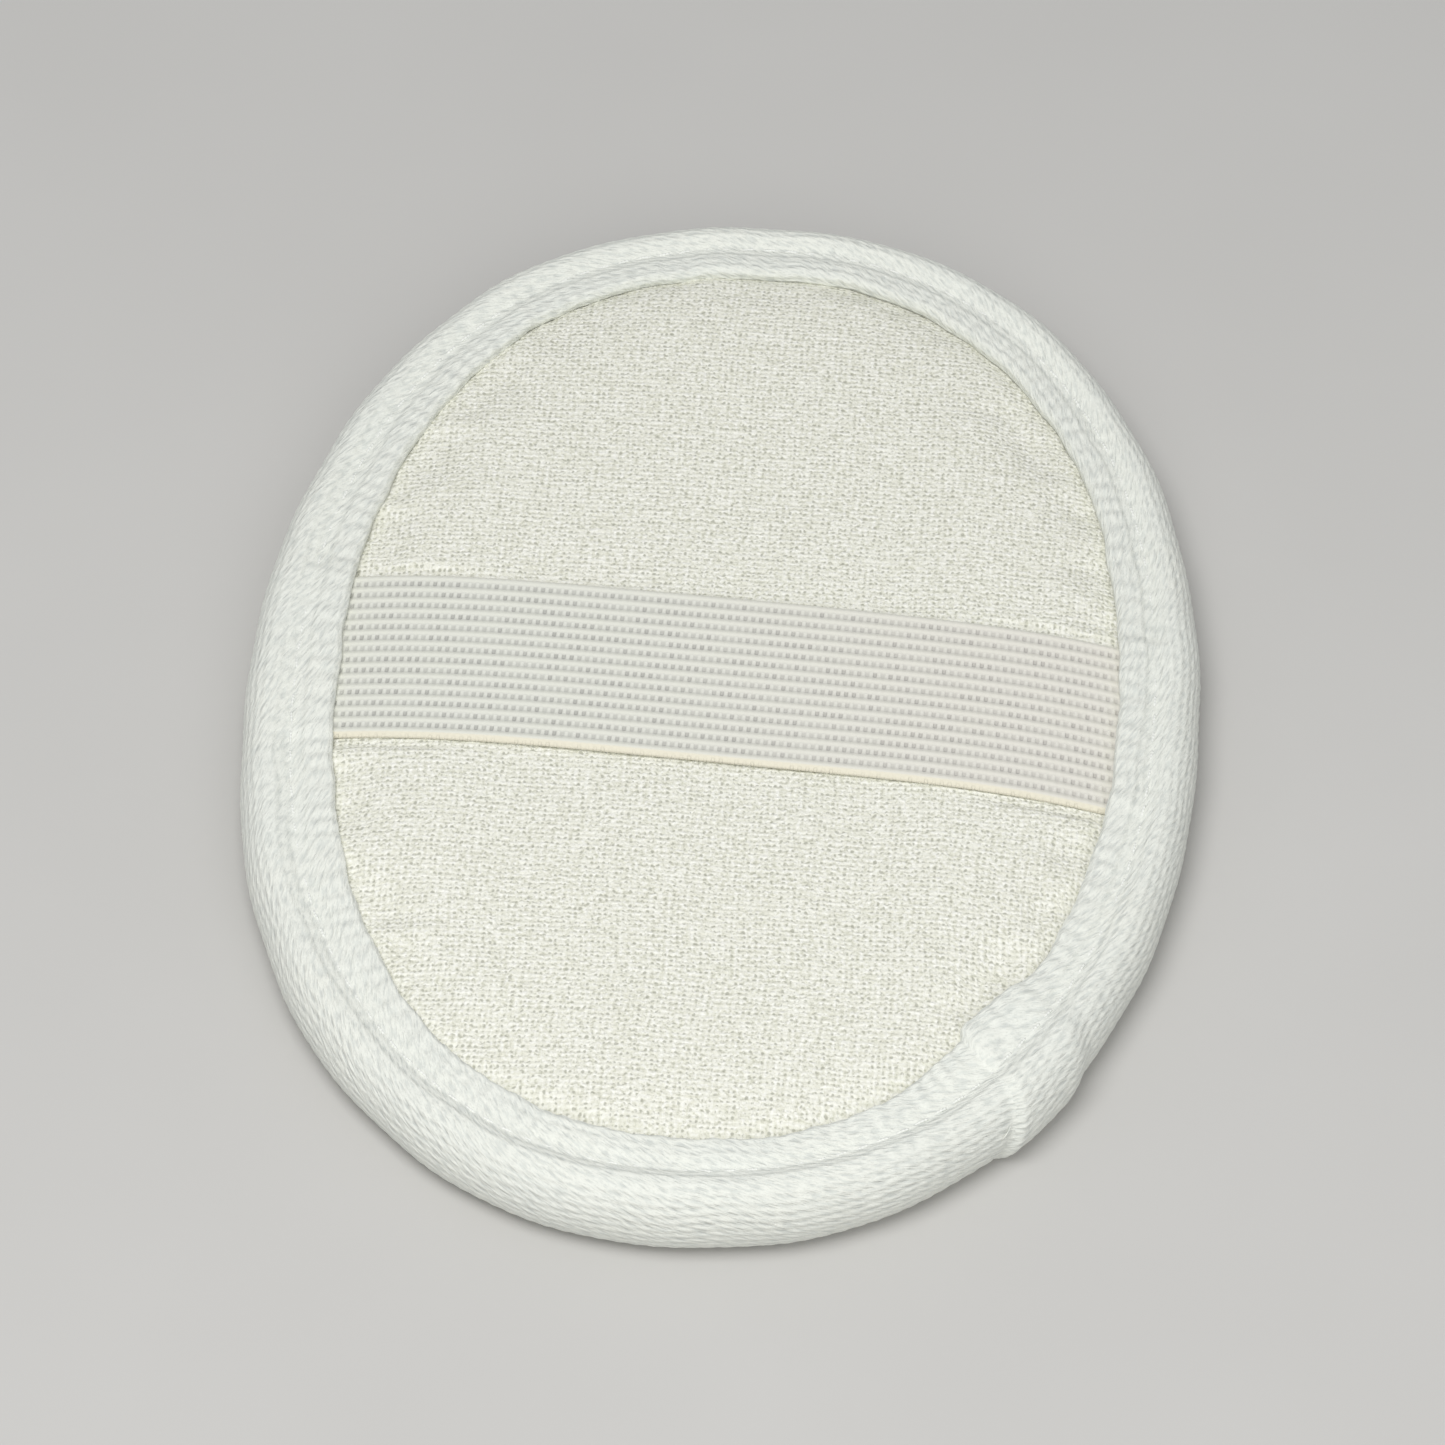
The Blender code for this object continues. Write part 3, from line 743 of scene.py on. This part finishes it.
class Paint:
    """One Principled material, with short calls for its nodes."""

    def __init__(self, name, roughness, sheen=0.0):
        self.material = bpy.data.materials.new(name)
        self.material.use_nodes = True
        self.tree = self.material.node_tree
        self.skin = self.tree.nodes["Principled BSDF"]
        self.skin.inputs["Roughness"].default_value = roughness
        self.skin.inputs["Sheen Weight"].default_value = sheen
        self.skin.inputs["Sheen Roughness"].default_value = 0.45
        self.skin.inputs["Specular IOR Level"].default_value = 0.25

    def put(self, socket, value):
        """Links an output to a socket, or sets the socket's own value."""
        if isinstance(value, bpy.types.NodeSocket):
            self.tree.links.new(value, socket)
        else:
            socket.default_value = value

    def math(self, operation, a, b=0.0, c=0.0):
        """The result of a Math node."""
        node = self.tree.nodes.new("ShaderNodeMath")
        node.operation = operation
        for socket, value in zip(node.inputs, (a, b, c)):
            self.put(socket, value)
        return node.outputs[0]

    def times(self, a, b):
        """The product of two values."""
        return self.math("MULTIPLY", a, b)

    def plus(self, a, b):
        """The sum of two values."""
        return self.math("ADD", a, b)

    def wave(self, turns):
        """Swings from 1 at whole turns to 0 half way between."""
        return self.math("MULTIPLY_ADD", self.math("COSINE", self.times(turns, TAU)), 0.5, 0.5)

    def between(self, value, low, high):
        """0 below low, 1 above high, smooth between; low may be the larger, to turn it round."""
        node = self.tree.nodes.new("ShaderNodeMapRange")
        node.interpolation_type = "SMOOTHSTEP"
        for name, given in (("Value", value), ("From Min", low), ("From Max", high)):
            self.put(node.inputs[name], given)
        return node.outputs[0]

    def place(self, stretch=(1.0, 1.0, 1.0), turn=0.0):
        """UV places in millimetres, turned in the surface and then stretched."""
        uv = self.tree.nodes.new("ShaderNodeUVMap")
        uv.uv_map = "UVMap"
        turned_place = self.tree.nodes.new("ShaderNodeMapping")
        turned_place.inputs["Rotation"].default_value = (0.0, 0.0, turn)
        self.put(turned_place.inputs["Vector"], uv.outputs["UV"])
        node = self.tree.nodes.new("ShaderNodeMapping")
        node.inputs["Scale"].default_value = stretch
        self.put(node.inputs["Vector"], turned_place.outputs[0])
        return node.outputs[0]

    def parts(self, vector):
        """A vector's x, y and z."""
        node = self.tree.nodes.new("ShaderNodeSeparateXYZ")
        self.put(node.inputs[0], vector)
        return node.outputs

    def noise(self, vector, scale, detail=2.0):
        """Smooth noise round 0.5, with the given number of features to a unit."""
        node = self.tree.nodes.new("ShaderNodeTexNoise")
        self.put(node.inputs["Vector"], vector)
        node.inputs["Scale"].default_value = scale
        node.inputs["Detail"].default_value = detail
        return node.outputs[0]

    def per_cell(self, a, b):
        """A random number for each pair of whole numbers."""
        both = self.tree.nodes.new("ShaderNodeCombineXYZ")
        self.put(both.inputs[0], self.math("FLOOR", a))
        self.put(both.inputs[1], self.math("FLOOR", b))
        node = self.tree.nodes.new("ShaderNodeTexWhiteNoise")
        node.noise_dimensions = "2D"
        self.put(node.inputs["Vector"], both.outputs[0])
        return node.outputs["Value"]

    def mix(self, factor, first, second):
        """The first colour where the factor is 0 and the second where it is 1."""
        node = self.tree.nodes.new("ShaderNodeMix")
        node.data_type = "RGBA"
        self.put(node.inputs[0], factor)
        self.put(node.inputs[6], first)
        self.put(node.inputs[7], second)
        return node.outputs[2]

    def finish(self, colour, height, distance, strength=1.0):
        """Sets the colour and the bump, whose full height is the distance in metres."""
        bump = self.tree.nodes.new("ShaderNodeBump")
        bump.inputs["Strength"].default_value = strength
        bump.inputs["Distance"].default_value = distance
        self.put(bump.inputs["Height"], height)
        self.put(self.skin.inputs["Normal"], bump.outputs[0])
        self.put(self.skin.inputs["Base Color"], colour)
        return self.material


def tape_material():
    """White knitted cotton: ridges along the tape, each a row of short slanting stitches, with painted shade
    in the gaps and hollows between them.
    """
    paint = Paint("cotton_tape", 0.92, sheen=0.15)
    place = paint.place()
    u, v, _ = paint.parts(place)
    row = paint.times(v, MM / RIDGE_PITCH)
    ridge = paint.wave(row)
    lean = paint.math("MULTIPLY_ADD", u, DASHES * MM / TAPE_LENGTH, paint.times(row, DASH_SLANT))
    dash = paint.wave(lean)
    strokes = paint.noise(paint.place((0.55, 2.7, 1.0), STROKE_TURN), 1.0, 2.0)
    fibres = paint.noise(paint.place((2.4, 9.0, 1.0), STROKE_TURN), 1.0, 2.0)
    height = paint.plus(paint.times(ridge, 0.16), paint.times(paint.times(dash, ridge), 0.3))
    height = paint.plus(height, paint.times(strokes, 1.35))
    height = paint.plus(height, paint.times(fibres, 0.35))
    # Painted shade in the gaps between the knit's stitches, where a ridge and a stitch both fall away.
    painted_gap_shade = paint.times(paint.math("SUBTRACT", 1.0, ridge), paint.math("SUBTRACT", 1.0, dash))
    painted_gap_shade = paint.times(paint.between(painted_gap_shade, 0.25, 1.0), paint.between(strokes, 0.62, 0.36))
    cloudy = paint.noise(place, 0.09, 3.0)
    colour = paint.mix(cloudy, (0.825, 0.845, 0.79, 1.0), (0.855, 0.86, 0.785, 1.0))
    # Painted shade in the low places of the strokes and of the fibres.
    painted_hollow_shade = paint.times(paint.between(strokes, 0.56, 0.34), 0.8)
    colour = paint.mix(painted_hollow_shade, colour, (0.70, 0.725, 0.68, 1.0))
    painted_hollow_shade = paint.times(paint.between(fibres, 0.46, 0.30), 0.4)
    colour = paint.mix(painted_hollow_shade, colour, (0.61, 0.63, 0.575, 1.0))
    colour = paint.mix(paint.times(painted_gap_shade, 0.35), colour, (0.50, 0.52, 0.50, 1.0))
    return paint.finish(colour, height, 0.185 * MM)


def cloth_material():
    """Natural cotton and linen plain weave: uneven yarns and slubs, painted shade in small gaps at the
    crossings, and painted shade and highlights on the fine lint relief.
    """
    paint = Paint("woven_cotton", 0.93, sheen=0.12)
    place = paint.place()
    u, v, _ = paint.parts(place)
    pitch = YARN_PITCH / MM
    sway_u = paint.noise(paint.place((1.1, 0.9, 1.0), 1.3), 1.0, 1.0)
    sway_v = paint.noise(paint.place((0.9, 1.1, 1.0)), 1.0, 1.0)
    col = paint.math("MULTIPLY_ADD", u, 1.0 / pitch, paint.times(sway_u, 0.9))
    row = paint.math("MULTIPLY_ADD", v, 1.0 / pitch, paint.times(sway_v, 0.9))
    over_u = paint.math("SUBTRACT", 1.0, paint.wave(col))
    over_v = paint.math("SUBTRACT", 1.0, paint.wave(row))
    total = paint.plus(paint.math("FLOOR", col), paint.math("FLOOR", row))
    odd = paint.math("MODULO", paint.math("ABSOLUTE", total), 2.0)
    warp = paint.times(over_u, paint.math("MULTIPLY_ADD", over_v, 0.6, 0.4))
    weft = paint.times(over_v, paint.math("MULTIPLY_ADD", over_u, 0.6, 0.4))
    weave = paint.plus(paint.times(warp, odd), paint.times(weft, paint.math("SUBTRACT", 1.0, odd)))
    lint = paint.noise(place, 1.9, 3.0)
    height = paint.plus(weave, paint.times(lint, 1.6))
    warp_slub = paint.noise(paint.place((1.9, 0.22, 1.0)), 1.0, 2.0)
    weft_slub = paint.noise(paint.place((0.22, 1.9, 1.0)), 1.0, 2.0)
    slub = paint.plus(warp_slub, weft_slub)
    # Painted shade in the gaps at the yarn crossings, deeper painted shade in the open ones at random.
    painted_gap_shade = paint.times(paint.math("SUBTRACT", 1.0, over_u), paint.math("SUBTRACT", 1.0, over_v))
    painted_gap_shade = paint.between(painted_gap_shade, 0.1, 0.75)
    chance = paint.noise(place, 1.25, 2.0)
    painted_open_gap_shade = paint.times(painted_gap_shade, paint.between(chance, 0.57, 0.40))
    cell = paint.per_cell(col, row)
    slub = paint.between(slub, 0.78, 1.22)
    colour = paint.mix(slub, (0.83, 0.825, 0.715, 1.0), (0.935, 0.93, 0.845, 1.0))
    colour = paint.mix(paint.times(cell, 0.3), colour, (0.76, 0.755, 0.645, 1.0))
    # Painted shade in the low places of the lint relief, and painted highlights on its high places.
    colour = paint.mix(paint.times(paint.between(lint, 0.46, 0.32), 0.85), colour, (0.62, 0.62, 0.51, 1.0))
    colour = paint.mix(paint.times(paint.between(lint, 0.50, 0.66), 0.8), colour, (0.985, 0.98, 0.92, 1.0))
    colour = paint.mix(paint.times(painted_gap_shade, 0.14), colour, (0.56, 0.56, 0.47, 1.0))
    colour = paint.mix(paint.times(painted_open_gap_shade, 0.7), colour, (0.38, 0.38, 0.31, 1.0))
    return paint.finish(colour, height, 0.09 * MM)


def strap_material():
    """Woven elastic: pale cords, a ladder of darker pits between them, and a cream selvedge."""
    paint = Paint("ribbed_elastic", 0.75, sheen=0.1)
    u, v, _ = paint.parts(paint.place())
    rib = paint.math("MULTIPLY_ADD", v, STRAP_RIBS * MM / STRAP_WIDTH, 0.5 * STRAP_RIBS)
    cord = paint.math("SUBTRACT", 1.0, paint.wave(rib))
    row = paint.math("ROUND", rib)
    along = paint.math("MULTIPLY_ADD", u, MM / STRAP_TICK, paint.times(row, 0.37))
    tick = paint.wave(along)
    pit = paint.times(paint.between(cord, 0.5, 0.12), paint.between(tick, 0.6, 0.12))
    cell = paint.per_cell(along, row)
    pit = paint.times(pit, paint.math("MULTIPLY_ADD", cell, 0.9, 0.35))
    lint = paint.noise(paint.place((1.0, 3.0, 1.0)), 3.0, 3.0)
    height = paint.plus(paint.times(cord, 0.5), paint.times(lint, 0.3))
    height = paint.math("SUBTRACT", height, paint.times(pit, 0.5))
    link = paint.times(paint.between(cord, 0.5, 0.12), paint.between(tick, 0.55, 0.95))
    colour = paint.mix(paint.between(cord, 0.35, 0.8), (0.655, 0.66, 0.595, 1.0), (0.75, 0.755, 0.67, 1.0))
    colour = paint.mix(paint.times(link, 0.8), colour, (0.81, 0.815, 0.74, 1.0))
    colour = paint.mix(paint.times(cell, 0.35), colour, (0.74, 0.735, 0.67, 1.0))
    colour = paint.mix(paint.times(pit, 0.68), colour, (0.42, 0.42, 0.385, 1.0))
    colour = paint.mix(paint.times(paint.between(u, -30.0, 45.0), 0.28), colour, (0.77, 0.685, 0.62, 1.0))
    colour = paint.mix(paint.times(paint.noise(paint.place(), 0.16), 0.25), colour, (0.74, 0.73, 0.70, 1.0))
    colour = paint.mix(paint.between(v, -12.05, -12.3), colour, (0.79, 0.75, 0.62, 1.0))
    colour = paint.mix(paint.between(v, 12.0, 12.3), colour, (0.84, 0.83, 0.74, 1.0))
    return paint.finish(colour, height, 0.14 * MM)


def thread_material():
    """White sewing thread with its twist."""
    paint = Paint("sewing_thread", 0.7, sheen=0.2)
    u, v, _ = paint.parts(paint.place())
    twist = paint.wave(paint.plus(paint.times(u, 2.2), v))
    colour = paint.mix(paint.times(twist, 0.5), (0.88, 0.89, 0.85, 1.0), (0.78, 0.79, 0.74, 1.0))
    return paint.finish(colour, twist, 0.05 * MM)


def flat_place(paint, stretch=(1.0, 1.0, 1.0), turn=0.0):
    """Places in millimetres on a flat layer, from its object coordinates, turned and then stretched."""
    node = paint.tree.nodes.new("ShaderNodeTexCoord")
    turned_place = paint.tree.nodes.new("ShaderNodeMapping")
    turned_place.inputs["Scale"].default_value = (1.0 / MM,) * 3
    turned_place.inputs["Rotation"].default_value = (0.0, 0.0, turn)
    paint.put(turned_place.inputs["Vector"], node.outputs["Object"])
    scale = paint.tree.nodes.new("ShaderNodeMapping")
    scale.inputs["Scale"].default_value = stretch
    paint.put(scale.inputs["Vector"], turned_place.outputs[0])
    return scale.outputs[0]


def pit_noise(paint):
    """The noise whose low places are the loofah's pits, drawn out along the fibres' shared direction."""
    return paint.noise(flat_place(paint, (0.75, 1.6, 1.0), -FIBRE_HEADING), 1.0, 2.0)


def loofah_material():
    """The loofah's matted body: beige with greenish and pinkish patches, and short dark pits."""
    paint = Paint("loofah_mat", 0.9)
    place = flat_place(paint)
    patch = paint.noise(place, 0.07, 3.0)
    fibre = paint.noise(flat_place(paint, (0.8, 2.6, 1.0), -FIBRE_HEADING), 1.0, 4.0)
    pit = paint.between(pit_noise(paint), 0.42, 0.365)
    colour = paint.mix(paint.between(patch, 0.35, 0.65), (0.63, 0.59, 0.41, 1.0), (0.69, 0.62, 0.47, 1.0))
    colour = paint.mix(paint.between(fibre, 0.42, 0.62), colour, (0.86, 0.82, 0.63, 1.0))
    colour = paint.mix(paint.times(pit, 0.85), colour, (0.27, 0.235, 0.13, 1.0))
    return paint.finish(colour, fibre, 0.4 * MM)


def fibre_material():
    """Single dry fibres, each of its own straw tone, a little paler than the mat under them."""
    paint = Paint("loofah_fibre", 0.62, sheen=0.1)
    own = paint.per_cell(paint.parts(paint.place())[1], 0.0)
    patch = paint.noise(flat_place(paint), 0.07, 3.0)
    pit = paint.between(pit_noise(paint), 0.405, 0.355)
    colour = paint.mix(own, (0.66, 0.61, 0.42, 1.0), (0.97, 0.94, 0.78, 1.0))
    colour = paint.mix(paint.times(paint.between(patch, 0.4, 0.62), 0.5), colour, (0.80, 0.74, 0.59, 1.0))
    streak = paint.noise(paint.place((0.6, 1.0, 1.0)), 2.0, 3.0)
    colour = paint.mix(paint.times(streak, 0.22), colour, (0.52, 0.46, 0.27, 1.0))
    colour = paint.mix(paint.times(pit, 0.6), colour, (0.36, 0.32, 0.19, 1.0))
    return paint.finish(colour, streak, 0.06 * MM)


def foam_material():
    """Pale open-cell wadding."""
    paint = Paint("wadding_foam", 0.95)
    place = flat_place(paint)
    cells = paint.noise(place, 1.4, 4.0)
    colour = paint.mix(paint.between(cells, 0.35, 0.65), (0.70, 0.68, 0.58, 1.0), (0.86, 0.85, 0.77, 1.0))
    return paint.finish(colour, cells, 0.3 * MM)


# ---------------------------------------------------------------- stage

AZIMUTH = math.radians(4.2)
ELEVATION = math.radians(49.0)
CAMERA_DISTANCE = 1.0
LENS = 212.0
AIM = Vector((0.0, 0.0, 4.0 * MM))
FLOOR_HALF = 3.0
# Each lamp: name, place, width of its disc, and power in watts.
LAMPS = (
    ("key", (-0.10, -0.28, 0.78), 0.45, 3.3),
    ("front", (0.12, -0.60, 0.52), 0.7, 1.9),
)


def build_stage():
    """A plain pale floor, soft studio light and the camera at the photograph's angle."""
    h = FLOOR_HALF
    floor = new_object("floor", [(-h, -h, 0.0), (h, -h, 0.0), (h, h, 0.0), (-h, h, 0.0)], [(0, 1, 2, 3)])
    paint = Paint("pale_floor", 0.85)
    grain = paint.noise(flat_place(paint), 0.02, 3.0)
    colour = paint.mix(grain, (0.56, 0.55, 0.53, 1.0), (0.60, 0.59, 0.57, 1.0))
    floor.data.materials.append(paint.finish(colour, grain, 0.02 * MM))
    world = bpy.data.worlds.new("studio")
    world.use_nodes = True
    sky = world.node_tree.nodes["Background"].inputs
    sky["Color"].default_value = (0.97, 0.985, 1.0, 1.0)
    sky["Strength"].default_value = 0.41
    bpy.context.scene.world = world
    for name, place, width, power in LAMPS:
        light = bpy.data.lights.new(name, "AREA")
        light.shape = "DISK"
        light.size = width
        light.energy = power
        lamp = bpy.data.objects.new(name, light)
        lamp.location = place
        lamp.rotation_mode = "QUATERNION"
        lamp.rotation_quaternion = (-Vector(place)).to_track_quat("-Z", "Y")
        bpy.context.scene.collection.objects.link(lamp)
    camera = bpy.data.objects.new("camera", bpy.data.cameras.new("camera"))
    camera.data.lens = LENS
    camera.data.clip_start = 0.01
    back = Vector((
        math.sin(AZIMUTH) * math.cos(ELEVATION),
        -math.cos(AZIMUTH) * math.cos(ELEVATION),
        math.sin(ELEVATION),
    ))
    camera.location = AIM + back * CAMERA_DISTANCE
    camera.rotation_mode = "QUATERNION"
    camera.rotation_quaternion = (-back).to_track_quat("-Z", "Y")
    bpy.context.scene.collection.objects.link(camera)
    bpy.context.scene.camera = camera
    bpy.context.scene.view_settings.view_transform = "Standard"


# ---------------------------------------------------------------- assembly

def fit(piece, material, slot, *nodes):
    """Gives a piece its material and hides the CAD nodes that it stands for; the slot is not used."""
    piece.data.materials.append(material)
    if nodes:
        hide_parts(*nodes)
    return piece


cotton = tape_material()
white_thread = thread_material()

tape = fit(build_tape(), cotton, "tape", "edge_binding")
needle = fit(build_stitches("needle_stitches", NEEDLE_HEIGHT, 1), white_thread, "thread", "needle_thread")
bobbin = fit(build_stitches("bobbin_stitches", BOBBIN_HEIGHT, 2), white_thread, "thread", "bobbin_thread")
fray = fit(build_fray(), cotton, "tape")
cloth = fit(build_cloth(), cloth_material(), "cloth", "back_cloth")
loofah = fit(
    build_layer("loofah_mat", LOOFAH_EDGE_INSET, 70, 360, loofah_face, loofah_back),
    loofah_material(), "loofah", "loofah_face",
)
fibres = fit(build_fibres(), fibre_material(), "loofah")
foam = fit(
    build_layer("foam_wadding", FOAM_EDGE_INSET, 30, 180, foam_floor, foam_top),
    foam_material(), "foam", "foam_core",
)
strap = fit(build_strap(), strap_material(), "elastic", "hand_strap")

for piece in (tape, needle, bobbin, fray, cloth, loofah, fibres, foam):
    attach(piece, "pad")
lift_strap(strap)

build_stage()
